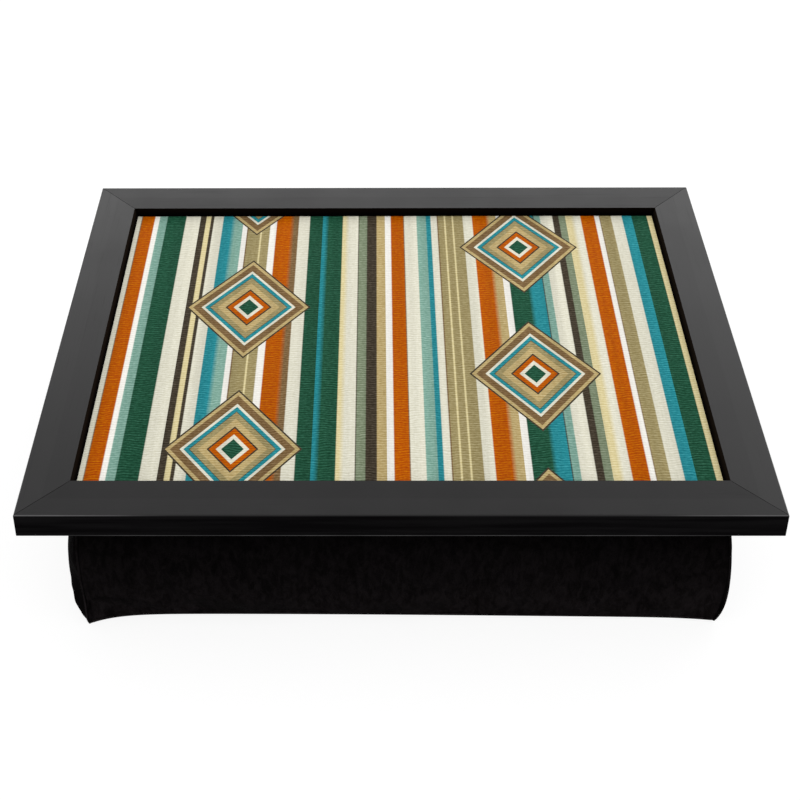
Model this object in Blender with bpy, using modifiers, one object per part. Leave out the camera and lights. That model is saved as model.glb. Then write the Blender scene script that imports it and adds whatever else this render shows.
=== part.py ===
"""A cushioned lap tray: a mitred frame round a laminated board, on a bead-filled cushion.

Metres, +Z up. The origin is on the floor under the middle of the cushion, +X runs along the
long side and the front rail is at -Y. The tray is everything above the hook and loop tapes,
and it lifts straight up off the cushion, along the Z axis through the origin.
"""

import math

import bmesh
import bpy

# Whole object
TRAY_LENGTH = 0.440
TRAY_DEPTH = 0.340
FRAME_UNDERSIDE_HEIGHT = 0.076

# Frame moulding: its width is measured from the outer face to the inner top edge
RAIL_WIDTH = 0.0286
RAIL_HEIGHT = 0.0165
RAIL_SIDE_LEAN = 0.00075
RAIL_EDGE_RADIUS = 0.0008
RAIL_EDGE_STEPS = 3
LIP_SLOPE_RUN = 0.0023
WELL_DEPTH = 0.0057
REBATE_WALL = 0.020
MITRE_GAP = 0.0004

# Fits
SEAT_GAP = 0.0003
POCKET_CLEARANCE = 0.0003
BOARD_SIDE_GAP = 0.0005
CUT_OVERRUN = 0.004
WELD_DISTANCE = 0.00005

# Tray panel
LAMINATE_THICKNESS = 0.0008
BOARD_THICKNESS = 0.003

# V-nails, driven up into each mitre from below
NAIL_LEG = 0.005
NAIL_HEIGHT = 0.007
NAIL_THICKNESS = 0.0005
NAIL_FIRST_INSET = 0.0065
NAIL_SPACING = 0.007
NAILS_PER_MITRE = 2

# Flat steel points that hold the board in the rebate
POINT_LENGTH = 0.016
POINT_WIDTH = 0.006
POINT_THICKNESS = 0.0005
POINT_IN_RAIL = 0.008
POINTS_PER_LONG_RAIL = 3
POINTS_PER_SHORT_RAIL = 2

# Hook and loop tapes
TAPE_LENGTH = 0.100
TAPE_WIDTH = 0.020
TAPE_THICKNESS = 0.0012
TAPE_END_INSET = 0.032
TAPE_SIDE_INSET = 0.026

# Cushion: corner insets run from the tray's outer faces to the corner seams
FABRIC_THICKNESS = 0.0012
CORNER_SIDE_INSET = 0.0295
CORNER_FRONT_INSET = 0.0008
SIDE_BULGE = 0.0115
FRONT_BULGE = 0.0045
RAIL_REST_GAP = 0.0010
TOP_SEAM_SIDE_GAP = 0.012
TOP_SEAM_FRONT_GAP = 0.006
LINER_CLEARANCE = 0.0009
FLOOR_CUT_DEPTH = 0.0005
BOTTOM_PANEL_INSET = 0.013
# Cushion's side panels from the frame down to the bottom seam: height up to the frame,
# corner out along X, corner out along Y, swell of the two ends, swell of the front and back
CUSHION_RING_SHARES = (
    (1.000, 0.990, 0.900, 0.30, 0.00),
    (0.800, 1.000, 0.978, 0.60, 0.60),
    (0.450, 1.000, 0.995, 0.95, 0.30),
    (0.140, 1.000, 1.000, 1.00, -0.50),
    (0.012, 1.000, 1.000, 0.50, -1.00),
)
# Where the panels' points lie from corner to corner: a panel swells most near its corners
LONG_STEP_SHARES = (-1, -0.90, 0, 0.90, 1)
SHORT_STEP_SHARES = (-1, -0.96, -0.83, 0, 0.83, 0.96, 1)
END_SWELL_POWER = 40
FRONT_SWELL_POWER = 10
CROWN_SHARE = 0.15
UNIT_WELD_SHARE = 0.01

# Worked out from the sizes above
HALF_LENGTH = TRAY_LENGTH / 2
HALF_DEPTH = TRAY_DEPTH / 2
RECESS_HALF_X = HALF_LENGTH - REBATE_WALL
RECESS_HALF_Y = HALF_DEPTH - REBATE_WALL
LAMINATE_TOP = RAIL_HEIGHT - WELL_DEPTH
BOARD_TOP = LAMINATE_TOP - LAMINATE_THICKNESS - SEAT_GAP
BOARD_UNDERSIDE = BOARD_TOP - BOARD_THICKNESS
HOOK_TOP = BOARD_UNDERSIDE - SEAT_GAP
LOOP_TOP = FRAME_UNDERSIDE_HEIGHT + HOOK_TOP - TAPE_THICKNESS - SEAT_GAP
CUSHION_TOP = LOOP_TOP - TAPE_THICKNESS - SEAT_GAP
TOP_SEAM_HEIGHT = CUSHION_TOP - FABRIC_THICKNESS - SEAT_GAP
SHOULDER_HEIGHT = min(FRAME_UNDERSIDE_HEIGHT, TOP_SEAM_HEIGHT) - RAIL_REST_GAP
TAPE_X = RECESS_HALF_X - TAPE_END_INSET - TAPE_LENGTH / 2
TAPE_Y = RECESS_HALF_Y - TAPE_SIDE_INSET - TAPE_WIDTH / 2
SIDES = (-1, 1)


def clear_scene():
    for obj in list(bpy.data.objects):
        bpy.data.objects.remove(obj, do_unlink=True)


def new_collection(name):
    collection = bpy.data.collections.new(name)
    bpy.context.scene.collection.children.link(collection)
    return collection


def new_material(name, color, roughness, metallic=0.0):
    material = bpy.data.materials.new(name)
    material.use_nodes = True
    shader = material.node_tree.nodes["Principled BSDF"]
    shader.inputs["Base Color"].default_value = (*color, 1.0)
    shader.inputs["Roughness"].default_value = roughness
    shader.inputs["Metallic"].default_value = metallic
    material.diffuse_color = (*color, 1.0)
    return material


clear_scene()
PARTS = new_collection("LapTray")
CUTTERS = new_collection("Cutters")

BLACK_FOIL = new_material("black_foil", (0.012, 0.011, 0.012), 0.35)
PRINT = new_material("printed_laminate", (0.47, 0.42, 0.31), 0.55)
HARDBOARD = new_material("hardboard", (0.20, 0.11, 0.055), 0.80)
STEEL = new_material("zinc_plated_steel", (0.55, 0.55, 0.56), 0.35, 1.0)
HOOK_TAPE = new_material("hook_tape", (0.015, 0.015, 0.016), 0.75)
LOOP_TAPE = new_material("loop_tape", (0.020, 0.020, 0.021), 0.95)
BLACK_FABRIC = new_material("black_fabric", (0.010, 0.009, 0.010), 0.95)
LINER = new_material("liner_fabric", (0.72, 0.71, 0.68), 0.90)


def new_empty(name, height):
    """An empty on the lifting axis, which carries one body."""
    empty = bpy.data.objects.new(name, None)
    empty.location = (0, 0, height)
    PARTS.objects.link(empty)
    return empty


TRAY = new_empty("tray", FRAME_UNDERSIDE_HEIGHT)
CUSHION = new_empty("cushion", 0)


def new_part(name, mesh, material, parent, location=(0, 0, 0)):
    mesh.materials.clear()
    mesh.materials.append(material)
    obj = bpy.data.objects.new(name, mesh)
    obj.parent = parent
    obj.location = location
    PARTS.objects.link(obj)
    return obj


def new_cutter(name, mesh, parent):
    obj = bpy.data.objects.new(name, mesh)
    obj.parent = parent
    obj.hide_render = True
    obj.display_type = "WIRE"
    CUTTERS.objects.link(obj)
    return obj


def cut(obj, cutter):
    boolean = obj.modifiers.new(cutter.name, "BOOLEAN")
    boolean.operation = "DIFFERENCE"
    boolean.solver = "EXACT"
    boolean.object = cutter


def add_box(mesh_builder, size, centre):
    """Adds a box of these three sizes to a mesh that is being built."""
    verts = bmesh.ops.create_cube(mesh_builder, size=1)["verts"]
    bmesh.ops.scale(mesh_builder, vec=size, verts=verts)
    bmesh.ops.translate(mesh_builder, vec=centre, verts=verts)


def finished(mesh_builder, name):
    mesh = bpy.data.meshes.new(name)
    mesh_builder.to_mesh(mesh)
    mesh_builder.free()
    return mesh


def box_mesh(name, size, centre=(0, 0, 0)):
    mesh_builder = bmesh.new()
    add_box(mesh_builder, size, centre)
    return finished(mesh_builder, name)


def rounded_edge(inwards, up, start_degrees):
    """A quarter round about a centre, clockwise from where it starts."""
    points = []
    for step in range(RAIL_EDGE_STEPS + 1):
        turn = math.radians(start_degrees - 90 * step / RAIL_EDGE_STEPS)
        across = inwards + RAIL_EDGE_RADIUS * math.cos(turn)
        points.append((across, up + RAIL_EDGE_RADIUS * math.sin(turn)))
    return points


def moulding_outline():
    """The moulding's section: inwards from the outer face, and up from the underside."""
    lip_underside = LAMINATE_TOP + SEAT_GAP
    top_edge_centre = (RAIL_SIDE_LEAN + RAIL_EDGE_RADIUS, RAIL_HEIGHT - RAIL_EDGE_RADIUS)
    return (
        *rounded_edge(RAIL_EDGE_RADIUS, RAIL_EDGE_RADIUS, 270),
        *rounded_edge(*top_edge_centre, 180),
        (RAIL_WIDTH, RAIL_HEIGHT),
        (RAIL_WIDTH + LIP_SLOPE_RUN, lip_underside),
        (REBATE_WALL, lip_underside),
        (REBATE_WALL, 0),
    )


def mitred_rail_mesh(name, length):
    """The section as a flat outline, extruded and with both ends slid back to 45 degrees."""
    half_length = length / 2 - MITRE_GAP / 2
    curve = bpy.data.curves.new(name, "CURVE")
    curve.dimensions = "2D"
    curve.fill_mode = "BOTH"
    curve.extrude = half_length
    outline = moulding_outline()
    spline = curve.splines.new("POLY")
    spline.points.add(len(outline) - 1)
    for point, (inwards, up) in zip(spline.points, outline):
        point.co = (inwards, up, 0, 1)
    spline.use_cyclic_u = True
    guide = bpy.data.objects.new(name, curve)
    bpy.context.scene.collection.objects.link(guide)
    bpy.context.view_layer.update()
    graph = bpy.context.evaluated_depsgraph_get()
    mesh = bpy.data.meshes.new_from_object(guide.evaluated_get(graph))
    bpy.data.objects.remove(guide, do_unlink=True)

    mesh_builder = bmesh.new()
    mesh_builder.from_mesh(mesh)
    bmesh.ops.remove_doubles(mesh_builder, verts=mesh_builder.verts, dist=WELD_DISTANCE)
    for vert in mesh_builder.verts:
        vert.co.z -= math.copysign(vert.co.x, vert.co.z)
    bmesh.ops.recalc_face_normals(mesh_builder, faces=mesh_builder.faces)
    mesh_builder.to_mesh(mesh)
    mesh_builder.free()
    return mesh


def nail_mesh(name, inset, clearance, low, high):
    """Two legs at a right angle, astride the mitre of the front left corner."""
    end = NAIL_LEG + clearance
    half_thickness = NAIL_THICKNESS / 2 + clearance
    corner_x = inset - HALF_LENGTH
    corner_y = inset - HALF_DEPTH
    steps = (
        (end, half_thickness),
        (half_thickness, half_thickness),
        (half_thickness, end),
        (-half_thickness, end),
        (-half_thickness, -half_thickness),
        (end, -half_thickness),
    )
    mesh_builder = bmesh.new()
    ring = [mesh_builder.verts.new((corner_x + x, corner_y + y, low)) for x, y in steps]
    base = mesh_builder.faces.new(ring)
    extruded = bmesh.ops.extrude_face_region(mesh_builder, geom=[base])["geom"]
    top = [piece for piece in extruded if isinstance(piece, bmesh.types.BMVert)]
    bmesh.ops.translate(mesh_builder, verts=top, vec=(0, 0, high - low))
    bmesh.ops.recalc_face_normals(mesh_builder, faces=mesh_builder.faces)
    return finished(mesh_builder, name)


def mirrored(mesh, side_x, side_y):
    """The mesh moved to another corner by turning it about the planes X = 0 and Y = 0."""
    mesh_builder = bmesh.new()
    mesh_builder.from_mesh(mesh)
    bmesh.ops.scale(mesh_builder, vec=(side_x, side_y, 1), verts=mesh_builder.verts)
    bmesh.ops.recalc_face_normals(mesh_builder, faces=mesh_builder.faces)
    mesh_builder.to_mesh(mesh)
    mesh_builder.free()
    return mesh


def spaced(length, count):
    """Places of this many points along a length, centred, each in the middle of its stretch."""
    return [length * ((number + 0.5) / count - 0.5) for number in range(count)]


def point_places():
    """Each retaining point: its rail, its place on the rebate wall and whether it runs along X."""
    for y_side, rail in zip(SIDES, ("front", "rear")):
        for x in spaced(2 * RECESS_HALF_X, POINTS_PER_LONG_RAIL):
            yield rail, x, y_side * RECESS_HALF_Y, False
    for x_side, rail in zip(SIDES, ("left", "right")):
        for y in spaced(2 * RECESS_HALF_Y, POINTS_PER_SHORT_RAIL):
            yield rail, x_side * RECESS_HALF_X, y, True


def point_box(x, y, along_x, clearance):
    """Size and centre of a point's blade, or of its pocket where a clearance is given."""
    middle = POINT_LENGTH / 2 - POINT_IN_RAIL
    length = POINT_LENGTH + 2 * clearance
    width = POINT_WIDTH + 2 * clearance
    thickness = POINT_THICKNESS + 2 * clearance
    height = BOARD_UNDERSIDE - SEAT_GAP - POINT_THICKNESS / 2
    if along_x:
        return (length, width, thickness), (x - math.copysign(middle, x), y, height)
    return (width, length, thickness), (x, y - math.copysign(middle, y), height)


def make_frame():
    """Four mitred rails, with pockets for the nails and the retaining points."""
    turns = {"left": 0, "front": 90, "right": 180, "rear": 270}
    places = {
        "left": (-HALF_LENGTH, 0, 0),
        "front": (0, -HALF_DEPTH, 0),
        "right": (HALF_LENGTH, 0, 0),
        "rear": (0, HALF_DEPTH, 0),
    }
    rails = {}
    for side, turn in turns.items():
        length = TRAY_LENGTH if side in ("front", "rear") else TRAY_DEPTH
        mesh = mitred_rail_mesh(side + "_rail", length)
        rail = new_part(side + "_rail", mesh, BLACK_FOIL, TRAY, places[side])
        rail.rotation_euler = (math.radians(90), 0, math.radians(turn))
        rails[side] = rail

    for side, rail in rails.items():
        pockets = bmesh.new()
        for rail_name, x, y, along_x in point_places():
            if rail_name == side:
                add_box(pockets, *point_box(x, y, along_x, POCKET_CLEARANCE))
        cutter = new_cutter(side + "_point_pockets", finished(pockets, side + "_pockets"), TRAY)
        cut(rail, cutter)
    return rails


def make_nails(rails):
    """V-nails across each mitre, flush in pockets that open at the frame's underside."""
    low = SEAT_GAP
    high = low + NAIL_HEIGHT
    corners = {
        ("left", "front"): (1, 1),
        ("right", "front"): (-1, 1),
        ("left", "rear"): (1, -1),
        ("right", "rear"): (-1, -1),
    }
    for (side_x, side_y), signs in corners.items():
        for number in range(NAILS_PER_MITRE):
            inset = NAIL_FIRST_INSET + number * NAIL_SPACING
            name = f"{side_y}_{side_x}_nail_{number + 1}"
            nail = mirrored(nail_mesh(name, inset, 0, low, high), *signs)
            new_part(name, nail, STEEL, TRAY)
            pocket = nail_mesh(
                name, inset, POCKET_CLEARANCE, -CUT_OVERRUN, high + POCKET_CLEARANCE
            )
            cutter = new_cutter(name + "_pocket", mirrored(pocket, *signs), TRAY)
            cut(rails[side_x], cutter)
            cut(rails[side_y], cutter)


def make_panel():
    """The printed laminate on its board, held up against the lip from below."""
    size_x = 2 * (RECESS_HALF_X - BOARD_SIDE_GAP)
    size_y = 2 * (RECESS_HALF_Y - BOARD_SIDE_GAP)
    laminate = box_mesh("printed_laminate", (size_x, size_y, LAMINATE_THICKNESS))
    board = box_mesh("tray_board", (size_x, size_y, BOARD_THICKNESS))
    middle = LAMINATE_TOP - LAMINATE_THICKNESS / 2
    new_part("printed_laminate", laminate, PRINT, TRAY, (0, 0, middle))
    middle = BOARD_UNDERSIDE + BOARD_THICKNESS / 2
    new_part("tray_board", board, HARDBOARD, TRAY, (0, 0, middle))


def make_points():
    numbers = {}
    for rail, x, y, along_x in point_places():
        numbers[rail] = numbers.get(rail, 0) + 1
        size, centre = point_box(x, y, along_x, 0)
        name = f"{rail}_retainer_point_{numbers[rail]}"
        new_part(name, box_mesh(name, size), STEEL, TRAY, centre)


def make_tapes():
    """Hook tapes under the board, and loop tapes facing them on the cushion."""
    size = (TAPE_LENGTH, TAPE_WIDTH, TAPE_THICKNESS)
    for y_side, y_name in zip(SIDES, ("front", "rear")):
        for x_side, x_name in zip(SIDES, ("left", "right")):
            corner = f"{y_name}_{x_name}"
            x = x_side * TAPE_X
            y = y_side * TAPE_Y
            hook = box_mesh(corner + "_hook_tape", size)
            loop = box_mesh(corner + "_loop_tape", size)
            hook_height = HOOK_TOP - TAPE_THICKNESS / 2
            loop_height = LOOP_TOP - TAPE_THICKNESS / 2
            new_part(corner + "_hook_tape", hook, HOOK_TAPE, TRAY, (x, y, hook_height))
            new_part(corner + "_loop_tape", loop, LOOP_TAPE, CUSHION, (x, y, loop_height))


def cushion_rings(inset, bottom, top):
    """Rings from the bottom panel to the top seam, each drawn in by the inset.

    A ring is its height, its corner along X and Y, and how far the middle of the ends and of
    the front and back swells past the line between the corners.
    """
    corner_x = HALF_LENGTH - CORNER_SIDE_INSET
    corner_y = HALF_DEPTH - CORNER_FRONT_INSET
    shoulder = SHOULDER_HEIGHT - inset
    rings = []
    for height, out_x, out_y, end_swell, front_swell in CUSHION_RING_SHARES:
        rings.append(
            (
                bottom + height * (shoulder - bottom),
                corner_x * out_x - inset,
                corner_y * out_y - inset,
                SIDE_BULGE * end_swell,
                FRONT_BULGE * front_swell,
            )
        )
    _, seam_x, seam_y, end_swell, front_swell = rings[-1]
    panel_x = seam_x - BOTTOM_PANEL_INSET
    panel_y = seam_y - BOTTOM_PANEL_INSET
    rings.append((bottom, panel_x, panel_y, end_swell, front_swell))
    rings.reverse()
    top_x = RECESS_HALF_X - TOP_SEAM_SIDE_GAP - inset
    top_y = RECESS_HALF_Y - TOP_SEAM_FRONT_GAP - inset
    rings.append((top, top_x, top_y, 0, 0))
    return rings


def swell(place, power):
    """How far a panel swells at a place from -1 to 1: fast at its corners, with a slight crown."""
    crown = math.cos(math.pi / 2 * place)
    return (1 - CROWN_SHARE) * (1 - abs(place) ** power) + CROWN_SHARE * crown


def step_share(place, shares):
    """The table's share for one of the even steps from -1 to 1."""
    return shares[round((place + 1) / 2 * (len(shares) - 1))]


def ring_point(across, along, ring):
    """A point of a ring, where across and along are even steps from -1 to 1."""
    height, corner_x, corner_y, end_swell, front_swell = ring
    across = step_share(across, LONG_STEP_SHARES)
    along = step_share(along, SHORT_STEP_SHARES)
    x = across * (corner_x + end_swell * swell(along, END_SWELL_POWER))
    y = along * (corner_y + front_swell * swell(across, FRONT_SWELL_POWER))
    return x, y, height


def add_unit_panel(mesh_builder, height):
    panel = bmesh.ops.create_grid(
        mesh_builder,
        x_segments=len(LONG_STEP_SHARES) - 1,
        y_segments=len(SHORT_STEP_SHARES) - 1,
        size=1,
    )["verts"]
    bmesh.ops.translate(mesh_builder, verts=panel, vec=(0, 0, height))
    return panel


def cushion_cage(name, rings, closed):
    """A bottom panel and walls extruded ring by ring, then bent to the rings' shapes."""
    mesh_builder = bmesh.new()
    add_unit_panel(mesh_builder, 0)
    edge = [side for side in mesh_builder.edges if side.is_boundary]
    for _ in rings[1:]:
        grown = bmesh.ops.extrude_edge_only(mesh_builder, edges=edge)["geom"]
        raised = [piece for piece in grown if isinstance(piece, bmesh.types.BMVert)]
        bmesh.ops.translate(mesh_builder, verts=raised, vec=(0, 0, 1))
        edge = [piece for piece in grown if isinstance(piece, bmesh.types.BMEdge)]
    if closed:
        add_unit_panel(mesh_builder, len(rings) - 1)
        bmesh.ops.remove_doubles(mesh_builder, verts=mesh_builder.verts, dist=UNIT_WELD_SHARE)
    crease = mesh_builder.edges.layers.float.new("crease_edge")
    for side in mesh_builder.edges:
        low, high = sorted(side.verts, key=lambda vert: vert.co.z)
        upright = abs(low.co.x) > 1 - UNIT_WELD_SHARE and abs(low.co.y) > 1 - UNIT_WELD_SHARE
        climbs = high.co.z - low.co.z > UNIT_WELD_SHARE
        bottom_seam = abs(low.co.z - 1) < UNIT_WELD_SHARE and not climbs
        if (upright and climbs) or bottom_seam:
            side[crease] = 1.0
    for vert in mesh_builder.verts:
        vert.co = ring_point(vert.co.x, vert.co.y, rings[round(vert.co.z)])
    bmesh.ops.recalc_face_normals(mesh_builder, faces=mesh_builder.faces)
    mesh = finished(mesh_builder, name)
    mesh.shade_smooth()
    return mesh


def subdivide(obj):
    smooth = obj.modifiers.new("smooth", "SUBSURF")
    smooth.levels = 1
    smooth.render_levels = 1
    smooth.boundary_smooth = "PRESERVE_CORNERS"


def add_thickness(obj, offset):
    shell = obj.modifiers.new("fabric", "SOLIDIFY")
    shell.thickness = FABRIC_THICKNESS
    shell.offset = offset
    shell.use_even_offset = True


def make_cushion_body():
    """The bottom and side panels as one open-topped shell, cut flat where it stands."""
    rings = cushion_rings(0, -FLOOR_CUT_DEPTH, TOP_SEAM_HEIGHT)
    body = new_part(
        "cushion_body", cushion_cage("cushion_body", rings, False), BLACK_FABRIC, CUSHION
    )
    subdivide(body)
    add_thickness(body, -1)
    depth = FLOOR_CUT_DEPTH + CUT_OVERRUN
    floor = box_mesh("floor", (TRAY_LENGTH, TRAY_DEPTH, depth), (0, 0, -depth / 2))
    cut(body, new_cutter("floor_cutter", floor, CUSHION))


def make_cushion_top():
    """The flat top panel, sewn on over the top of the side panels."""
    ring = cushion_rings(0, 0, TOP_SEAM_HEIGHT)[-1]
    mesh_builder = bmesh.new()
    for vert in add_unit_panel(mesh_builder, 0):
        vert.co = ring_point(vert.co.x, vert.co.y, ring)
        vert.co.z = CUSHION_TOP
    bmesh.ops.recalc_face_normals(mesh_builder, faces=mesh_builder.faces)
    mesh = finished(mesh_builder, "cushion_top_panel")
    panel = new_part("cushion_top_panel", mesh, BLACK_FABRIC, CUSHION)
    subdivide(panel)
    add_thickness(panel, -1)


def make_bead_liner():
    """The beads in their liner, as one body that fills the cover."""
    inset = FABRIC_THICKNESS + LINER_CLEARANCE
    bottom = FABRIC_THICKNESS - FLOOR_CUT_DEPTH + SEAT_GAP
    top = CUSHION_TOP - FABRIC_THICKNESS - SEAT_GAP
    rings = cushion_rings(inset, bottom, top)
    mesh = cushion_cage("bead_filled_liner", rings, True)
    subdivide(new_part("bead_filled_liner", mesh, LINER, CUSHION))


def make_lap_tray():
    rails = make_frame()
    make_nails(rails)
    make_panel()
    make_points()
    make_tapes()
    make_cushion_body()
    make_cushion_top()
    make_bead_liner()


make_lap_tray()
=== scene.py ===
"""The looks of the cushioned lap tray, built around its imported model.

Metres, +Z up, the front rail at -Y, as in the model. The rails, the board, the tapes and the
steel keep their solids and get materials here. The cushion's cover is made here as cloth.
"""

import math

import bmesh
import bpy
import numpy as np
from mathutils import Matrix, Vector, noise


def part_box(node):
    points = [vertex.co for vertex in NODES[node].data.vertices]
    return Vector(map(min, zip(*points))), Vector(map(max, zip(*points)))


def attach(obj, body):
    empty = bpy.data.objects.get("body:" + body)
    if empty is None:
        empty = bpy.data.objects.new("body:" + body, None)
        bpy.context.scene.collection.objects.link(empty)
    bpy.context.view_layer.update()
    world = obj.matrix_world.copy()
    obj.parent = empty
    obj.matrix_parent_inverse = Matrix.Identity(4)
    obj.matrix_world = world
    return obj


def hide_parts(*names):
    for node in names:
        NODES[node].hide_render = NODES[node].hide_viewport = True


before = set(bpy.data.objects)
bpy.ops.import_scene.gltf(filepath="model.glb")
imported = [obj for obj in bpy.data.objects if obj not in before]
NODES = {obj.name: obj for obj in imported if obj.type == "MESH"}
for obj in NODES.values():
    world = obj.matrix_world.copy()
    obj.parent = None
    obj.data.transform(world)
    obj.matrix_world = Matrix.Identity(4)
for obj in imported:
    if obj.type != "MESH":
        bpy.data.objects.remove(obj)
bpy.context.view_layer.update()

# Camera, fitted to the frame's corners in the photograph
LENS_MM = 60.87
SENSOR_MM = 36
CAMERA_PLACE = (-0.01387, -0.69624, 0.64845)
CAMERA_PITCH_DOWN = 41.645
CAMERA_YAW = -0.54
CAMERA_ROLL = -0.395
CAMERA_SHIFT_X_SHARE = 0.0422

# Light
WORLD_LIGHT = 0.86
LAMP_TARGET = (0, 0, 0.08)
BACK_LAMP_PLACE = (0.10, 1.60, 0.80)
BACK_LAMP_SIZE = (2.2, 0.7)
BACK_LAMP_WATTS = 9.2
SIDE_LAMP_PLACE = (1.10, 0.95, 1.15)
SIDE_LAMP_SIZE = (0.7, 0.7)
SIDE_LAMP_WATTS = 3.0
FLOOR_SIZE = 8.0
FLOOR_GAP = 0.0004
FLOOR_SHADOW_SHARE = 0.22
FLOOR_GLOW = 0.85
FLOOR_BOUNCE = 0.80

# Cushion cover, with its levels from the bottom up
COVER_LEVELS = (
    # Height, left corners' x, right corners' x, corners' y, ends' swell, front's swell, ends' tuck
    (0.0007, 0.1894, 0.1888, 0.1700, 0.0110, -0.0054, 0.0012),
    (0.0040, 0.1908, 0.1908, 0.1702, 0.0156, -0.0044, 0.0034),
    (0.0120, 0.1898, 0.1932, 0.1698, 0.0144, -0.0024, 0.0060),
    (0.0250, 0.1895, 0.1940, 0.1688, 0.0090, -0.0004, 0.0050),
    (0.0420, 0.1896, 0.1932, 0.1672, 0.0086, 0.0008, 0.0024),
    (0.0600, 0.1888, 0.1912, 0.1650, 0.0050, 0.0014, 0.0006),
    (0.0745, 0.1878, 0.1896, 0.1530, 0.0040, 0.0, 0.0),
    (0.0772, 0.1878, 0.1890, 0.1470, 0.0008, 0.0, 0.0),
    (0.0788, 0.1870, 0.1880, 0.1435, 0.0, 0.0, 0.0),
)
BOTTOM_SHIFT_X = 0.0010
TOP_SHIFT_X = -0.0005
COVER_TURN = 0.0065
FRONT_SKEW_SHARE = 0.55
LEVEL_STEPS = (2, 2, 3, 3, 3, 3, 1, 1)
LEVEL_EASINGS = 2
TUCK_DISTANCE = 0.0035
TUCKED_COLUMNS = 3
END_CROWDING_SHARE = 0.7
COVER_CELLS_X = 80
COVER_CELLS_Y = 72
LEFT_SWELL_POWER = 30
RIGHT_SWELL_POWER = 4
RIGHT_TUCK_SHARE = 0.4
FRONT_SWELL_POWER = 12
CROWN_SHARE = 0.15
TOP_CROWN = 0.0012
UNEVENNESS = 0.0012
UNEVENNESS_PER_METRE = 22
SWELL_CAP = 0.0048
DENT_CAP = 0.0015
CLOTH_SETTINGS = {
    "quality": 6,
    "mass": 0.3,
    "tension_stiffness": 20,
    "compression_stiffness": 20,
    "shear_stiffness": 8,
    "bending_stiffness": 0.2,
    "use_pressure": True,
    "uniform_pressure_force": 2.2,
    "shrink_min": -0.030,
    "vertex_group_mass": "sewn",
}
CLOTH_FRAMES = 20
SEAM_RADIUS = 0.0008
SEAM_STANDS_OUT = 0.0005
BOTTOM_SEAM_RISE = 0.0002
TOP_SEAM_DROP = 0.0004
# The seams' cloth made paler as a painted highlight on their ridges
SEAM_HIGHLIGHT_LIFT = 1.7
STITCH_RADIUS = 0.0002
STITCH_PITCH = 0.0036
STITCH_LENGTH_SHARE = 0.72
STITCH_BEND_SHARE = 0.2
STITCH_INSET = 0.0018
LINER_INSET = 0.0080
LINER_CELLS = (20, 18)

# Clear space that the cover keeps below the tray
RAIL_CLEARANCE = 0.0007
TAPE_CLEARANCE = 0.0003
BOARD_CLEARANCE = 0.0015
RAIL_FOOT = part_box("front_rail")[0].z
UNDER_RAIL_LIMIT = RAIL_FOOT - RAIL_CLEARANCE
UNDER_TAPE_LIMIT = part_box("front_left_loop_tape")[0].z - TAPE_CLEARANCE
UNDER_BOARD_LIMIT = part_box("tray_board")[0].z - BOARD_CLEARANCE
RECESS_HALF_X = 0.200
RECESS_HALF_Y = 0.150
RECESS_CLEARANCE = 0.0015
TAPE_SLOPE_START = 0.002
TAPE_SLOPE_WIDTH = 0.004

# Rails: the face, the inner lip with its painted shade and light, and the rounded outer edges with
# painted highlights, brightest near the corners
RAIL_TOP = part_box("front_rail")[1].z
RAIL_END_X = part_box("right_rail")[1].x
RAIL_END_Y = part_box("rear_rail")[1].y
RAIL_FACE_WIDTH = 0.0286
RAIL_SIDE_LEAN = 0.00075
LIP_HEIGHT = 0.0058
# Share of the lip's height held at painted shade at its foot, and the same at painted light at its
# top
LIP_SHADE_SHARE = 0.2
RAIL_EDGE_RADIUS = 0.0008
EDGE_BLEND = 0.0002
# Painted highlights on the rounded outer edges: how much of the radius, how they brighten towards
# the corners, and how they fade on the foot there
HIGHLIGHT_RADIUS_SHARE = 0.7
CORNER_HIGHLIGHT_START = 0.095
CORNER_HIGHLIGHT_END = 0.022
CORNER_FOOT_START = 0.2
CORNER_FOOT_HIGHLIGHT = 0.35
FACE_SLOPES = (0.80, 0.97)
GRAIN_PER_METRE = (18, 900, 900)
STREAKS_PER_METRE = (9, 90, 260)
STREAK_RANGE = (0.35, 0.70)
RUB_PER_METRE = 26.0
# The patches' range, and the painted edge highlights' strength over it
HIGHLIGHT_PATCH_RANGE = (0.35, 0.75)
HIGHLIGHT_PATCH_SHARES = (0.7, 1.1)
RUB_SHADES = (0.9, 1.1)
PORE_RANGE = (0.55, 0.75)
PORE_SHADE = 0.25
PORE_ROUGHNESS = 0.10
PORE_BUMP = (0.00003, 0.35)
FACE_ROUGHNESS = (0.36, 0.42)
SIDE_ROUGHNESS = 0.45
SIDE_GLOSS = 0.03
LIP_GLOSS_LOSS = 0.02
LONG_RAIL_GLOSS = 0.185
SHORT_RAIL_GLOSS = 0.25

# Printed board
STRIPE_BLEND_SHARE = 0.0014
SOFT_BLEND_SHARE = 0.0075
STRIPES_PER_RAMP = 8
LOZENGE_HALF_X = 0.042
LOZENGE_HALF_Y = 0.054
LOZENGE_PITCH = 0.139
LOZENGE_CHAINS = ((-0.100, 0.030), (0.088, -0.0395))
LOZENGE_START_TURNS = 10.5

# Its linen ground: features per metre along each axis, and how strongly they show
WEFT_PITCH = 0.0021
WEFT_WANDER_TURNS = 2.8
WEFT_WANDER_PER_METRE = (70, 45, 1)
RIB_DASHES_PER_METRE = (130, 420, 1)
RIB_STRENGTHS = (0.25, 1.4)
SLUBS_PER_METRE = (420, 700, 1)
SLUB_STRENGTH = 0.7
WARP_PER_METRE = (900, 40, 1)
WARP_RANGE = (0.35, 0.72)
WARP_SHADE = 0.05
DRIFT_PER_METRE = (100, 1.5, 1)
DRIFT_SHADES = (0.9, 1.07)
RIB_INK = 0.135
RIB_SHADE = 0.055
LINEN_BUMP = (0.00004, 0.5)
LINEN_PATCHES_PER_METRE = 55.0
LINEN_ROUGHNESS = (0.58, 0.68)
LINEN_GLOSS = 0.02

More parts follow.
